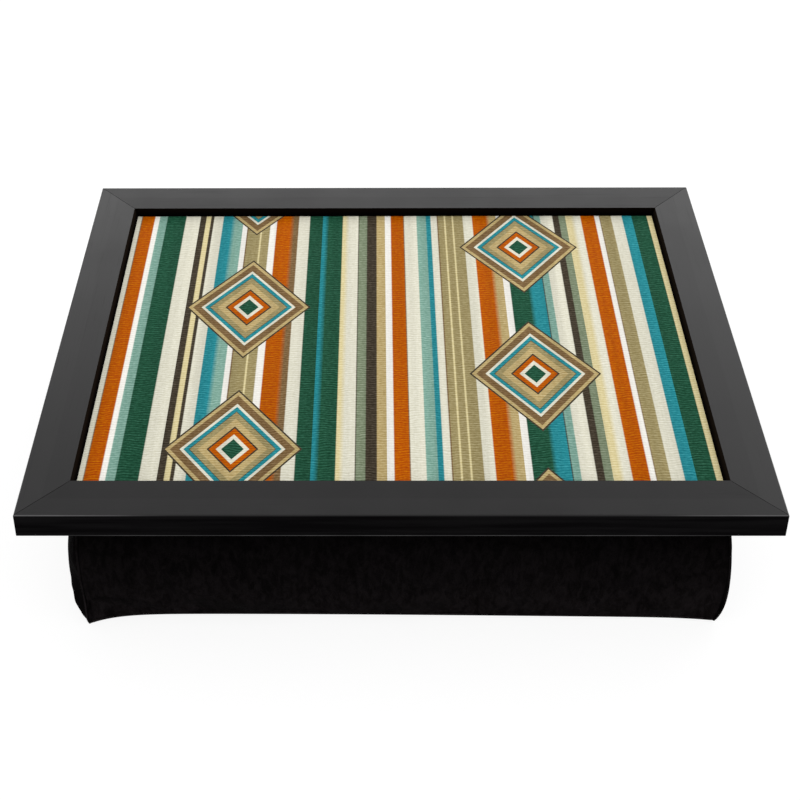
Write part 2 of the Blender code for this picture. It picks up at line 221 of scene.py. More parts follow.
# Hardboard
SCREEN_PITCH = 0.0016
SCREEN_RELIEF = 0.5
FIBRES_PER_METRE = (420, 160, 420)
SPECKS_PER_METRE = 900.0
SPECK_RANGE = (0.62, 0.72)
SPECK_STRENGTH = 0.5
BOARD_BUMP = (0.00015, 0.6)
BOARD_ROUGHNESS = (0.72, 0.88)
BOARD_GLOSS = 0.2

# Zinc-plated steel
ZINC_PATCHES_PER_METRE = 420.0
SCRATCHES_PER_METRE = (200, 4000, 900)
SCRATCH_RANGE = (0.35, 0.65)
SCRATCH_BUMP = (0.00001, 0.5)
ZINC_ROUGHNESS = (0.24, 0.46)

# Hook and loop tapes
HOOK_ROW_PITCH = 0.0016
HOOK_STEP_PITCH = 0.0012
HOOK_RANGE = (0.05, 0.5)
HOOK_FUZZ_PER_METRE = 1500.0
HOOK_FUZZ_RELIEF = 0.3
HOOK_ROUGHNESS = (0.42, 0.6)
HOOK_GLOSS = 0.4
LOOP_FUZZ_PER_METRE = 2600.0
LOOP_ROUGHNESS = (0.82, 0.96)
LOOP_GLOSS = 0.2
TAPE_RANGE = (0.35, 0.8)
TAPE_BUMP = (0.0003, 0.9)

# Thread
THREAD_TWIST_PITCH = 0.0005
THREAD_TWIST_STRENGTH = 0.6
THREAD_FLUFF_PER_METRE = 3000.0
THREAD_RANGE = (0.3, 1.1)
THREAD_BUMP = (0.00005, 0.7)
THREAD_ROUGHNESS = (0.5, 0.65)
THREAD_GLOSS = 0.25

# Liner
LINER_WEAVE_PITCH = 0.0009
LINER_PATCHES_PER_METRE = 60.0
LINER_SHADES = (0.94, 1.02)
LINER_BUMP = (0.0001, 0.6)
LINER_ROUGHNESS = (0.8, 0.92)

# The cover's cloth: nap, fibres and knit per metre, and the painted light and shade that change
# its tone with height and slope
NAP_CLOUDS_PER_METRE = 45.0
NAP_STREAKS_PER_METRE = (240, 240, 110)
NAP_STREAK_RANGE = (0.34, 0.68)
NAP_FIBRES_PER_METRE = 1700.0
NAP_FIBRE_RANGE = (0.35, 0.7)
KNIT_PER_METRE = (620, 620, 372)
NAP_STREAK_SHARE = 0.55
NAP_CLOUD_SHARE = 0.20
NAP_FIBRE_SHARE = 0.25
NAP_STREAK_RELIEF = 0.8
NAP_FIBRE_RELIEF = 0.5
NAP_BUMP = (0.00018, 0.8)
NAP_ROUGHNESS = (0.88, 0.98)
# Painted floor light: the cloth paler towards the floor, up to this height
PAINTED_FLOOR_LIGHT_HEIGHT = 0.050
PAINTED_FLOOR_LIGHT_TONES = (1.55, 0.78)
# Painted shade under the rails, at the cushion's shoulder
SHOULDER_SHADE_HEIGHTS = (0.045, 0.072)
SHOULDER_SHADE_TONE = 0.65
# Painted shade on the faces that look down
UNDERSIDE_SHADE_SLOPES = (-0.15, -0.5)
UNDERSIDE_SHADE_TONE = 0.5
# Painted shade low on the ends, on faces that look sideways
END_SHADE_SLOPES = (0.4, 0.7)
END_SHADE_HEIGHTS = (0.042, 0.018)
END_SHADE_SHARES = (0.25, 0.75)
CLOTH_GLOSS = 0.01
CLOTH_SHEEN = 0.0015
CLOTH_SHEEN_ROUGHNESS = 0.5

# The range that holds most of a noise
NOISE_RANGE = (0.3, 0.7)

# The part of a weave's wave, from -1 to 1, that goes from dark to pale
WAVE_RANGE = (-0.8, 0.8)

# The mix node's sockets for colours
MIX_COLOURS_IN = (6, 7)
MIX_COLOUR_OUT = 2


def linear(*levels):
    """An sRGB colour of three levels from 0 to 255 as a linear colour."""
    shares = [level / 255 for level in levels]
    steps = [s / 12.92 if s <= 0.04045 else ((s + 0.055) / 1.055) ** 2.4 for s in shares]
    return (*steps, 1.0)


# Printed colours
PALETTE = {
    "white": linear(245, 242, 234),
    "cream": linear(226, 223, 204),
    "straw": linear(222, 208, 158),
    "tan": linear(190, 168, 116),
    "khaki": linear(158, 144, 100),
    "brown": linear(124, 98, 64),
    "umber": linear(66, 58, 46),
    "grey_green": linear(126, 138, 112),
    "sea_mist": linear(130, 170, 155),
    "teal": linear(40, 138, 148),
    "deep_green": linear(32, 80, 58),
    "orange": linear(186, 88, 0),
}

# Colours of everything that isn't printed
SHADES = {
    "foil_face": linear(22, 21, 22),
    # The sides' streaky matt black, darker than the face partly as painted shade
    "foil_side_dark": linear(4, 3, 4),
    "foil_side_pale": linear(15, 14, 15),
    # Painted highlights on the rails' rounded edges: along the top edge, near the corners, and on
    # the foot
    "foil_edge": linear(24, 23, 24),
    "foil_corner_highlight": linear(90, 89, 90),
    "foil_foot_highlight": linear(76, 75, 76),
    # The inner lip: painted shade next to the print and painted light at its top, lit differently
    # on the long and the short rails
    "lip_painted_shade": linear(2, 1, 1),
    "long_lip_painted_light": linear(9, 5, 3),
    "short_lip_painted_light": linear(23, 17, 12),
    "board_dark": linear(98, 66, 42),
    "board_pale": linear(140, 100, 66),
    "board_speck": linear(66, 44, 30),
    "zinc_dull": linear(168, 170, 172),
    "zinc_bright": linear(200, 200, 198),
    "tape_dark": linear(18, 18, 20),
    "hook_pale": linear(40, 40, 43),
    "loop_pale": linear(46, 46, 48),
    "nap_dark": linear(4, 3, 3),
    "nap_pale": linear(23, 20, 21),
    "nap_sheen": linear(150, 142, 150),
    "thread_dark": linear(26, 26, 28),
    "thread_pale": linear(66, 65, 67),
    "liner_dark": linear(205, 202, 194),
    "liner_pale": linear(232, 230, 224),
}

# Stripes from left to right: colour, width share and whether the next colour blends in
STRIPE_SHARES = (
    ("tan", 7, False),
    ("cream", 5, False),
    ("brown", 0.5, False),
    ("orange", 8, False),
    ("white", 3, False),
    ("sea_mist", 5, False),
    ("deep_green", 12, False),
    ("cream", 9, False),
    ("umber", 4, False),
    ("straw", 3, False),
    ("umber", 2, False),
    ("cream", 6, False),
    ("teal", 8, True),
    ("sea_mist", 5, False),
    ("white", 3, False),
    ("brown", 0.5, False),
    ("khaki", 8, False),
    ("straw", 1, False),
    ("khaki", 5, False),
    ("white", 4, False),
    ("orange", 11, True),
    ("brown", 3, False),
    ("cream", 7, False),
    ("deep_green", 8, False),
    ("teal", 4, True),
    ("deep_green", 9, False),
    ("straw", 4, True),
    ("cream", 6, False),
    ("umber", 0.5, False),
    ("grey_green", 5, False),
    ("umber", 6, False),
    ("tan", 5, False),
    ("white", 4, False),
    ("orange", 8, False),
    ("brown", 0.5, False),
    ("cream", 8, False),
    ("sea_mist", 6, False),
    ("teal", 3, False),
    ("cream", 4, False),
    ("brown", 0.5, False),
    ("khaki", 4, False),
    ("straw", 1, False),
    ("khaki", 4, False),
    ("straw", 1, False),
    ("khaki", 6, False),
    ("cream", 6, False),
    ("orange", 11, True),
    ("tan", 4, False),
    ("white", 4, False),
    ("deep_green", 13, True),
    ("teal", 7, False),
    ("umber", 0.5, False),
    ("sea_mist", 4, False),
    ("cream", 8, False),
    ("umber", 4, False),
    ("grey_green", 4, False),
    ("straw", 6, True),
    ("cream", 4, False),
    ("orange", 9, False),
    ("white", 3, False),
    ("brown", 0.5, False),
    ("khaki", 7, False),
    ("cream", 7, False),
    ("teal", 6, False),
    ("deep_green", 10, False),
    ("straw", 5, False),
    ("cream", 7, False),
)

# A lozenge's bands from the middle out, in the same form
LOZENGE_SHARES = (
    ("deep_green", 15, False),
    ("cream", 7, False),
    ("orange", 9, False),
    ("umber", 3, False),
    ("tan", 12, True),
    ("khaki", 10, False),
    ("umber", 1, False),
    ("teal", 7, False),
    ("cream", 5, False),
    ("brown", 13, True),
    ("tan", 6, False),
    ("umber", 3, False),
)


class Graph:
    """A material's nodes, each added and joined up in one call."""

    def __init__(self, name):
        self.material = bpy.data.materials.new(name)
        self.material.use_nodes = True
        self.tree = self.material.node_tree
        self.shader = self.tree.nodes["Principled BSDF"]

    def put(self, socket, value):
        if isinstance(value, bpy.types.NodeSocket):
            self.tree.links.new(value, socket)
        else:
            socket.default_value = value

    def node(self, kind, *values, **settings):
        made = self.tree.nodes.new(kind)
        for name, value in settings.items():
            setattr(made, name, value)
        for socket, value in zip(made.inputs, values):
            self.put(socket, value)
        return made

    def math(self, operation, *values):
        return self.node("ShaderNodeMath", *values, operation=operation).outputs[0]

    def vector(self, operation, *values):
        return self.node("ShaderNodeVectorMath", *values, operation=operation).outputs[0]

    def between(self, value, low, high, start=0.0, end=1.0):
        """A smooth step from start to end while the value goes from low to high."""
        made = self.node("ShaderNodeMapRange", value, low, high, start, end)
        made.interpolation_type = "SMOOTHSTEP"
        return made.outputs[0]

    def mix(self, share, first, second):
        """The two colours mixed by the share."""
        made = self.node("ShaderNodeMix", share, data_type="RGBA")
        for number, colour in zip(MIX_COLOURS_IN, (first, second)):
            self.put(made.inputs[number], colour)
        return made.outputs[MIX_COLOUR_OUT]

    def scaled(self, colour, factor):
        """The colour times a number."""
        made = self.node("ShaderNodeVectorMath", colour, operation="SCALE")
        self.put(made.inputs["Scale"], factor)
        return made.outputs[0]

    def place(self, stretch=(1, 1, 1)):
        """The point in the model's frame, with each axis stretched."""
        point = self.node("ShaderNodeTexCoord").outputs["Object"]
        return self.vector("MULTIPLY", point, stretch)

    def noise(self, per_metre, detail=2.0, roughness=0.5, distortion=0.0):
        """Noise with so many features per metre, one number or one for each axis."""
        even = not isinstance(per_metre, tuple)
        made = self.node("ShaderNodeTexNoise")
        self.put(made.inputs["Vector"], self.place() if even else self.place(per_metre))
        self.put(made.inputs["Scale"], per_metre if even else 1.0)
        self.put(made.inputs["Detail"], detail)
        self.put(made.inputs["Roughness"], roughness)
        self.put(made.inputs["Distortion"], distortion)
        return made.outputs[0]

    def spread(self, value, start=0.0, end=1.0):
        """A noise's usual range as a smooth step from start to end."""
        return self.between(value, *NOISE_RANGE, start, end)

    def ripple(self, value, pitch):
        """A wave from -1 to 1 with a crest at each pitch."""
        return self.math("SINE", self.math("MULTIPLY", value, 2 * math.pi / pitch))

    def axes(self, vector):
        return self.node("ShaderNodeSeparateXYZ", vector).outputs

    def bump(self, height, distance, strength):
        """Relief of that many metres for a height of 1, with a strength from 0 to 1."""
        made = self.node("ShaderNodeBump")
        self.put(made.inputs["Strength"], strength)
        self.put(made.inputs["Distance"], distance)
        self.put(made.inputs["Height"], height)
        self.put(self.shader.inputs["Normal"], made.outputs[0])

    def set(self, **values):
        """Sets the shader's sockets, named in lower case with underscores."""
        for name, value in values.items():
            words = name.replace("_", " ")
            found = [s for s in self.shader.inputs if s.name.lower() == words]
            self.put(found[0], value)


def band_ramp(graph, value, bands):
    """Colour by value over some of the bands. A band runs from its start to its end."""
    start = bands[0][1]
    length = bands[-1][2] - start
    part = graph.node("ShaderNodeMapRange", value, start, start + length, 0.0, 1.0).outputs[0]
    ramp = graph.node("ShaderNodeValToRGB", part)
    stops = ramp.color_ramp.elements
    places = []
    for name, low, high, soft in bands:
        blend = SOFT_BLEND_SHARE if soft else STRIPE_BLEND_SHARE
        places.append(((low - start) / length, name))
        places.append(((high - blend - start) / length, name))
    while len(stops) < len(places):
        stops.new(1.0)
    for stop, (place, name) in zip(stops, places):
        stop.position = place
        stop.color = PALETTE[name]
    return ramp.outputs[0]


def banded(graph, value, shares):
    """The bands of a table laid along a value from 0 to 1."""
    total = sum(width for _, width, _ in shares)
    bands = []
    reached = 0.0
    for name, width, soft in shares:
        bands.append((name, reached / total, (reached + width) / total, soft))
        reached += width
    colour = None
    for first in range(0, len(bands), STRIPES_PER_RAMP):
        chunk = bands[first : first + STRIPES_PER_RAMP]
        made = band_ramp(graph, value, chunk)
        if colour is None:
            colour = made
        else:
            past = graph.math("GREATER_THAN", value, chunk[0][1])
            colour = graph.mix(past, colour, made)
    return colour


def lozenge_distance(graph, x, y, middle_x, offset_y):
    """0 in the middle of a chain's lozenges and 1 on their outlines."""
    across = graph.math("ABSOLUTE", graph.math("SUBTRACT", x, middle_x))
    across = graph.math("DIVIDE", across, LOZENGE_HALF_X)
    turns = graph.math("DIVIDE", graph.math("SUBTRACT", y, offset_y), LOZENGE_PITCH)
    part = graph.math("FRACT", graph.math("ADD", turns, LOZENGE_START_TURNS))
    along = graph.math("ABSOLUTE", graph.math("SUBTRACT", part, 0.5))
    along = graph.math("MULTIPLY", along, LOZENGE_PITCH / LOZENGE_HALF_Y)
    return graph.math("ADD", across, along)


def linen_relief(graph, y):
    """The weft's wavy ribs, and the same with their uneven strength and slubs."""
    wander = graph.noise(WEFT_WANDER_PER_METRE)
    turns = graph.math("MULTIPLY", y, 1 / WEFT_PITCH)
    turns = graph.math("MULTIPLY_ADD", wander, WEFT_WANDER_TURNS, turns)
    ribs = graph.ripple(turns, 1)
    strength = graph.spread(graph.noise(RIB_DASHES_PER_METRE), *RIB_STRENGTHS)
    slubs = graph.noise(SLUBS_PER_METRE, roughness=0.7)
    slubs = graph.spread(slubs, -SLUB_STRENGTH, SLUB_STRENGTH)
    return ribs, graph.math("MULTIPLY_ADD", ribs, strength, slubs)


def print_material():
    """Matt laminate, printed with stripes and chains of lozenges on a linen ground."""
    graph = Graph("printed_laminate_stripes")
    low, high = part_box("printed_laminate")
    x, y, _ = graph.axes(graph.place())
    share = graph.node("ShaderNodeMapRange", x, low.x, high.x, 0.0, 1.0).outputs[0]
    colour = banded(graph, share, STRIPE_SHARES)
    for middle_x, offset_y in LOZENGE_CHAINS:
        distance = lozenge_distance(graph, x, y, middle_x, offset_y)
        motif = banded(graph, distance, LOZENGE_SHARES)
        inside = graph.math("LESS_THAN", distance, 1.0)
        colour = graph.mix(inside, colour, motif)

    # The ribs thin out and thicken the ink, most of all where it is dark
    ribs, relief = linen_relief(graph, y)
    ink = graph.math("MULTIPLY_ADD", relief, -RIB_INK, 1.0)
    colour = graph.node("ShaderNodeGamma", colour, ink).outputs[0]
    warp = graph.between(graph.noise(WARP_PER_METRE), *WARP_RANGE)
    shade = graph.math("MULTIPLY_ADD", relief, RIB_SHADE, 1.0)
    shade = graph.math("SUBTRACT", shade, graph.math("MULTIPLY", warp, WARP_SHADE))
    drift = graph.spread(graph.noise(DRIFT_PER_METRE), *DRIFT_SHADES)
    colour = graph.scaled(colour, graph.math("MULTIPLY", shade, drift))
    graph.bump(graph.math("ADD", ribs, warp), *LINEN_BUMP)
    patches = graph.noise(LINEN_PATCHES_PER_METRE, detail=3.0, roughness=0.6)
    roughness = graph.spread(patches, *LINEN_ROUGHNESS)
    graph.set(base_color=colour, roughness=roughness, specular_ior_level=LINEN_GLOSS)
    return graph.material


def edge_highlight_masks(graph, along, from_middle, height, length, width):
    """How far a spot is on the top edge and on the foot edge outside, and near a mitre: the masks
    of the painted highlights on the rails' rounded edges.
    """
    start = width - RAIL_SIDE_LEAN - RAIL_EDGE_RADIUS * HIGHLIGHT_RADIUS_SHARE
    outer = graph.between(from_middle, start - EDGE_BLEND, start + EDGE_BLEND)
    top_start = RAIL_TOP - RAIL_EDGE_RADIUS * HIGHLIGHT_RADIUS_SHARE
    top_edge = graph.between(height, top_start - EDGE_BLEND, top_start + EDGE_BLEND)
    top_edge = graph.math("MULTIPLY", outer, top_edge)
    foot_end = RAIL_FOOT + RAIL_EDGE_RADIUS * (2 - HIGHLIGHT_RADIUS_SHARE)
    foot = graph.between(height, foot_end + EDGE_BLEND, foot_end - EDGE_BLEND)
    foot = graph.math("MULTIPLY", outer, foot)
    reach = graph.math("ABSOLUTE", along)
    corner = graph.between(reach, length - CORNER_HIGHLIGHT_START, length - CORNER_HIGHLIGHT_END)
    faded = graph.between(corner, CORNER_FOOT_START, 1.0, 1.0, CORNER_FOOT_HIGHLIGHT)
    foot = graph.math("MULTIPLY", foot, faded)
    return top_edge, foot, corner


def inner_lip(graph, from_middle, height, width, lit_top_colour):
    """Where the inner lip is, and its colour: painted shade next to the print, and painted light,
    paler and warmer, at its top.
    """
    inside = graph.math("LESS_THAN", from_middle, width - RAIL_FACE_WIDTH / 2)
    lip = graph.math("GREATER_THAN", height, RAIL_TOP - LIP_HEIGHT)
    lip = graph.math("MULTIPLY", inside, lip)
    start = RAIL_TOP - LIP_HEIGHT * (1 - LIP_SHADE_SHARE)
    end = RAIL_TOP - LIP_HEIGHT * LIP_SHADE_SHARE
    rise = graph.between(height, start, end)
    return lip, graph.mix(rise, SHADES["lip_painted_shade"], lit_top_colour)


def foil_material(name, along_x, gloss_level, lip_light_colour):
    """Black foil over the moulding's face, matt black on its sides and inner lip; painted
    highlights on its rounded outer edges, painted shade and light on its inner lip, and sides
    darker than the face partly as painted shade.
    """
    graph = Graph(name)
    x, y, height = graph.axes(graph.place())
    along, outwards, length, width = x, y, RAIL_END_X, RAIL_END_Y
    grain, streaks = GRAIN_PER_METRE, STREAKS_PER_METRE
    if not along_x:
        along, outwards, length, width = y, x, RAIL_END_Y, RAIL_END_X
        grain = (grain[1], grain[0], grain[2])
        streaks = (streaks[1], streaks[0], streaks[2])
    pores = graph.noise(grain, detail=3.0, roughness=0.6, distortion=0.4)
    pores = graph.between(pores, *PORE_RANGE)
    streaks = graph.noise(streaks, detail=3.0, roughness=0.6)
    streaks = graph.between(streaks, *STREAK_RANGE)
    patches = graph.noise(RUB_PER_METRE, detail=3.0, roughness=0.6)
    _, _, up = graph.axes(graph.node("ShaderNodeTexCoord").outputs["Normal"])
    face = graph.between(up, *FACE_SLOPES)
    from_middle = graph.math("ABSOLUTE", outwards)
    lip, lip_shade = inner_lip(graph, from_middle, height, width, lip_light_colour)
    top_edge, foot, corner = edge_highlight_masks(graph, along, from_middle, height, length, width)

    highlight_patches = graph.between(patches, *HIGHLIGHT_PATCH_RANGE, *HIGHLIGHT_PATCH_SHARES)
    # Matt black sides, darker than the face partly as painted shade
    sides = graph.mix(streaks, SHADES["foil_side_dark"], SHADES["foil_side_pale"])
    # The inner lip takes its painted shade and painted light
    sides = graph.mix(lip, sides, lip_shade)
    # Painted highlights on the rounded top edge, brightest near the mitres, and a painted
    # highlight on the foot edge
    edge_highlight_colour = graph.mix(corner, SHADES["foil_edge"], SHADES["foil_corner_highlight"])
    colour = graph.mix(face, sides, SHADES["foil_face"])
    colour = graph.mix(graph.math("MULTIPLY", top_edge, highlight_patches), colour, edge_highlight_colour)
    foot_highlight = graph.math("MULTIPLY", foot, highlight_patches)
    colour = graph.mix(foot_highlight, colour, SHADES["foil_foot_highlight"])
    shade = graph.spread(patches, *RUB_SHADES)
    shade = graph.math("SUBTRACT", shade, graph.math("MULTIPLY", pores, PORE_SHADE))
    colour = graph.scaled(colour, shade)

    roughness = graph.spread(patches, *FACE_ROUGHNESS)
    roughness = graph.math("MULTIPLY_ADD", pores, PORE_ROUGHNESS, roughness)
    dull = graph.math("SUBTRACT", 1.0, graph.math("MAXIMUM", face, top_edge))
    roughness = graph.math("MULTIPLY_ADD", dull, SIDE_ROUGHNESS, roughness)
    shiny = graph.math("SUBTRACT", 1.0, dull)
    specular = graph.math("MULTIPLY_ADD", shiny, gloss_level, SIDE_GLOSS)
    specular = graph.math("SUBTRACT", specular, graph.math("MULTIPLY", lip, LIP_GLOSS_LOSS))
    graph.bump(graph.math("SUBTRACT", 1.0, pores), *PORE_BUMP)
    graph.set(base_color=colour, roughness=roughness, specular_ior_level=specular)
    return graph.material


def hardboard_material():
    """Brown pressed fibre, with the screen pattern that the press leaves underneath."""
    graph = Graph("pressed_fibre_board")
    fibres = graph.noise(FIBRES_PER_METRE, detail=4.0, roughness=0.7, distortion=1.2)
    specks = graph.noise(SPECKS_PER_METRE)
    specks = graph.between(specks, *SPECK_RANGE, 0.0, SPECK_STRENGTH)
    x, y, _ = graph.axes(graph.place())
    screen_x = graph.ripple(x, SCREEN_PITCH)
    screen_y = graph.ripple(y, SCREEN_PITCH)
    screen = graph.math("MULTIPLY", screen_x, screen_y)
    colour = graph.mix(graph.spread(fibres), SHADES["board_dark"], SHADES["board_pale"])
    colour = graph.mix(specks, colour, SHADES["board_speck"])
    graph.bump(graph.math("MULTIPLY_ADD", screen, SCREEN_RELIEF, fibres), *BOARD_BUMP)
    roughness = graph.spread(fibres, *BOARD_ROUGHNESS)
    graph.set(base_color=colour, roughness=roughness, specular_ior_level=BOARD_GLOSS)
    return graph.material


def steel_material():
    """Zinc-plated steel with fine scratches and dull patches."""
    graph = Graph("zinc_plated_steel")
    patches = graph.noise(ZINC_PATCHES_PER_METRE, detail=3.0, roughness=0.6)
    scratches = graph.noise(SCRATCHES_PER_METRE)
    colour = graph.mix(graph.spread(patches), SHADES["zinc_dull"], SHADES["zinc_bright"])
    roughness = graph.between(scratches, *SCRATCH_RANGE, *ZINC_ROUGHNESS)
    graph.bump(scratches, *SCRATCH_BUMP)
    graph.set(base_color=colour, roughness=roughness, metallic=1.0)
    return graph.material


def hook_tape_material():
    """Black woven tape with rows of hooks."""
    graph = Graph("black_hook_tape")
    fuzz = graph.noise(HOOK_FUZZ_PER_METRE, detail=3.0, roughness=0.7)
    x, y, _ = graph.axes(graph.place())
    rows = graph.ripple(y, HOOK_ROW_PITCH)
    steps = graph.ripple(x, HOOK_STEP_PITCH)
    hooks = graph.between(graph.math("MULTIPLY", rows, steps), *HOOK_RANGE)
    height = graph.math("MULTIPLY_ADD", fuzz, HOOK_FUZZ_RELIEF, hooks)
    pale = graph.between(height, *TAPE_RANGE)
    colour = graph.mix(pale, SHADES["tape_dark"], SHADES["hook_pale"])
    graph.bump(height, *TAPE_BUMP)
    roughness = graph.spread(fuzz, *HOOK_ROUGHNESS)
    graph.set(base_color=colour, roughness=roughness, specular_ior_level=HOOK_GLOSS)
    return graph.material


def loop_tape_material():
    """Black tape with a fuzz of loops."""
    graph = Graph("black_loop_tape")
    fuzz = graph.noise(LOOP_FUZZ_PER_METRE, detail=3.0, roughness=0.7)
    pale = graph.between(fuzz, *TAPE_RANGE)
    colour = graph.mix(pale, SHADES["tape_dark"], SHADES["loop_pale"])
    graph.bump(fuzz, *TAPE_BUMP)
    roughness = graph.spread(fuzz, *LOOP_ROUGHNESS)
    graph.set(base_color=colour, roughness=roughness, specular_ior_level=LOOP_GLOSS)
    return graph.material


def cover_material(name, highlight_lift):
    """Black sueded cloth: a nap brushed in short upright streaks, with painted floor light towards
    the floor and painted shade under the rails, on its underside and low on its ends.
    """
    graph = Graph(name)
    _, _, height = graph.axes(graph.place())
    sideways, _, up = graph.axes(graph.node("ShaderNodeTexCoord").outputs["Normal"])
    clouds = graph.noise(NAP_CLOUDS_PER_METRE, detail=3.0, roughness=0.6)
    streaks = graph.noise(NAP_STREAKS_PER_METRE, detail=4.0, roughness=0.68, distortion=0.5)
    fibres = graph.noise(NAP_FIBRES_PER_METRE, roughness=0.7)
    knit = graph.noise(KNIT_PER_METRE)
    nap = graph.math("MULTIPLY", graph.between(streaks, *NAP_STREAK_RANGE), NAP_STREAK_SHARE)
    nap = graph.math("MULTIPLY_ADD", graph.spread(clouds), NAP_CLOUD_SHARE, nap)
    pale_fibres = graph.between(fibres, *NAP_FIBRE_RANGE)
    nap = graph.math("MULTIPLY_ADD", pale_fibres, NAP_FIBRE_SHARE, nap)
    colour = graph.mix(nap, SHADES["nap_dark"], SHADES["nap_pale"])

    # Painted floor light, paler towards the floor
    tone = graph.between(height, 0.0, PAINTED_FLOOR_LIGHT_HEIGHT, *PAINTED_FLOOR_LIGHT_TONES)
    # Painted shade under the rails
    shoulder_shade = graph.between(height, *SHOULDER_SHADE_HEIGHTS, 1.0, SHOULDER_SHADE_TONE)
    tone = graph.math("MULTIPLY", tone, shoulder_shade)
    # Painted shade on the faces that look down
    underside_shade = graph.between(up, *UNDERSIDE_SHADE_SLOPES, 1.0, UNDERSIDE_SHADE_TONE)
    tone = graph.math("MULTIPLY", tone, underside_shade)
    # Painted shade low on the ends
    ends = graph.between(graph.math("ABSOLUTE", sideways), *END_SHADE_SLOPES)
    end_shade_height = graph.between(height, *END_SHADE_HEIGHTS, *END_SHADE_SHARES)
    ends = graph.math("MULTIPLY", ends, end_shade_height)
    tone = graph.math("MULTIPLY", tone, graph.math("SUBTRACT", 1.0, ends))
    # The painted light and shade, and for the seams a painted highlight
    colour = graph.scaled(colour, graph.math("MULTIPLY", tone, highlight_lift))

    relief = graph.math("MULTIPLY_ADD", fibres, NAP_FIBRE_RELIEF, knit)
    relief = graph.math("MULTIPLY_ADD", streaks, NAP_STREAK_RELIEF, relief)
    graph.bump(relief, *NAP_BUMP)
    roughness = graph.spread(streaks, *NAP_ROUGHNESS)
    graph.set(base_color=colour, roughness=roughness, specular_ior_level=CLOTH_GLOSS)
    graph.set(sheen_weight=CLOTH_SHEEN, sheen_roughness=CLOTH_SHEEN_ROUGHNESS)
    graph.set(sheen_tint=SHADES["nap_sheen"])
    return graph.material


def thread_material():
    """Black polyester thread, twisted."""
    graph = Graph("black_thread")
    x, y, _ = graph.axes(graph.place())
    twist = graph.ripple(graph.math("ADD", x, y), THREAD_TWIST_PITCH)
    fluff = graph.noise(THREAD_FLUFF_PER_METRE)
    twist = graph.between(twist, *WAVE_RANGE, 0.0, THREAD_TWIST_STRENGTH)
    height = graph.math("ADD", twist, fluff)
    pale = graph.between(height, *THREAD_RANGE)
    colour = graph.mix(pale, SHADES["thread_dark"], SHADES["thread_pale"])
    graph.bump(height, *THREAD_BUMP)
    roughness = graph.spread(fluff, *THREAD_ROUGHNESS)
    graph.set(base_color=colour, roughness=roughness, specular_ior_level=THREAD_GLOSS)
    return graph.material


def liner_material():
    """White woven liner that holds the beads."""
    graph = Graph("woven_liner")
    x, y, _ = graph.axes(graph.place())
    warp = graph.ripple(x, LINER_WEAVE_PITCH)
    weft = graph.ripple(y, LINER_WEAVE_PITCH)
    weave = graph.between(graph.math("MULTIPLY", warp, weft), *WAVE_RANGE)
    patches = graph.noise(LINER_PATCHES_PER_METRE, detail=3.0)
    colour = graph.mix(weave, SHADES["liner_dark"], SHADES["liner_pale"])
    colour = graph.scaled(colour, graph.spread(patches, *LINER_SHADES))
    graph.bump(weave, *LINER_BUMP)
    graph.set(base_color=colour, roughness=graph.between(weave, 0.0, 1.0, *LINER_ROUGHNESS))
    return graph.material


def nodes_named(*endings):
    """The model's nodes with one of these words in their names."""
    return [name for name in NODES if any(ending in name for ending in endings)]


def dress(names, material):
    """Gives CAD nodes a material through their objects' slots."""
    for name in names:
        for slot in NODES[name].material_slots:
            slot.link = "OBJECT"
            slot.material = material


def swell(place, power):
    """How far a panel swells at a place from -1 to 1: fast at its corners, with a slight crown."""
    crown = math.cos(math.pi / 2 * place)
    return (1 - CROWN_SHARE) * (1 - abs(place) ** power) + CROWN_SHARE * crown


def smooth_levels():
    """The cover's levels with the steps in between, eased so that no level shows as a crease."""
    table = np.array(COVER_LEVELS)
    marks = np.concatenate([[0], np.cumsum(LEVEL_STEPS)])
    steps = np.arange(marks[-1] + 1)
    columns = [np.interp(steps, marks, column) for column in table.T]
    rows = np.array(columns).T
    for _ in range(LEVEL_EASINGS):
        rows[1:-1] = (rows[:-2] + 2 * rows[1:-1] + rows[2:]) / 4
    return rows


def crowded(place):
    """A place from -1 to 1, moved so that the lattice is finer next to the corners."""
    eased = math.sin(math.pi / 2 * place)
    return place + END_CROWDING_SHARE * (eased - place)


def cover_point(across, along, level, inset):
    """A point of the cover, where across and along run from -1 to 1."""
    height, left_x, right_x, corner_y, end_swell, front_swell, tuck = level
    corner_x, power = left_x, LEFT_SWELL_POWER
    if across > 0:
        corner_x, power = right_x, RIGHT_SWELL_POWER
        tuck *= RIGHT_TUCK_SHARE
    behind = (1 - abs(along)) * corner_y / TUCK_DISTANCE
    end_swell = end_swell * swell(along, power) - tuck * behind * math.exp(1 - behind)
    x = across * (corner_x - inset + end_swell)
    x += BOTTOM_SHIFT_X + (TOP_SHIFT_X - BOTTOM_SHIFT_X) * height / COVER_LEVELS[-1][0]
    front_swell *= 1 + FRONT_SKEW_SHARE * across * along
    y = along * (corner_y - inset + front_swell * swell(across, FRONT_SWELL_POWER))
    return x - COVER_TURN * y, y + COVER_TURN * x, height


def lattice_faces(index, cells):
    """The squares on the outside of a block of cells, as corner numbers."""
    faces = []
    for axis in range(3):
        first, second = [other for other in range(3) if other != axis]
        for end in (0, cells[axis]):
            for a in range(cells[first]):
                for b in range(cells[second]):
                    ring = []
                    for step_a, step_b in ((0, 0), (1, 0), (1, 1), (0, 1)):
                        key = [0, 0, 0]
                        key[axis] = end
                        key[first] = a + step_a
                        key[second] = b + step_b
                        ring.append(index[tuple(key)])
                    faces.append(ring)
    return faces


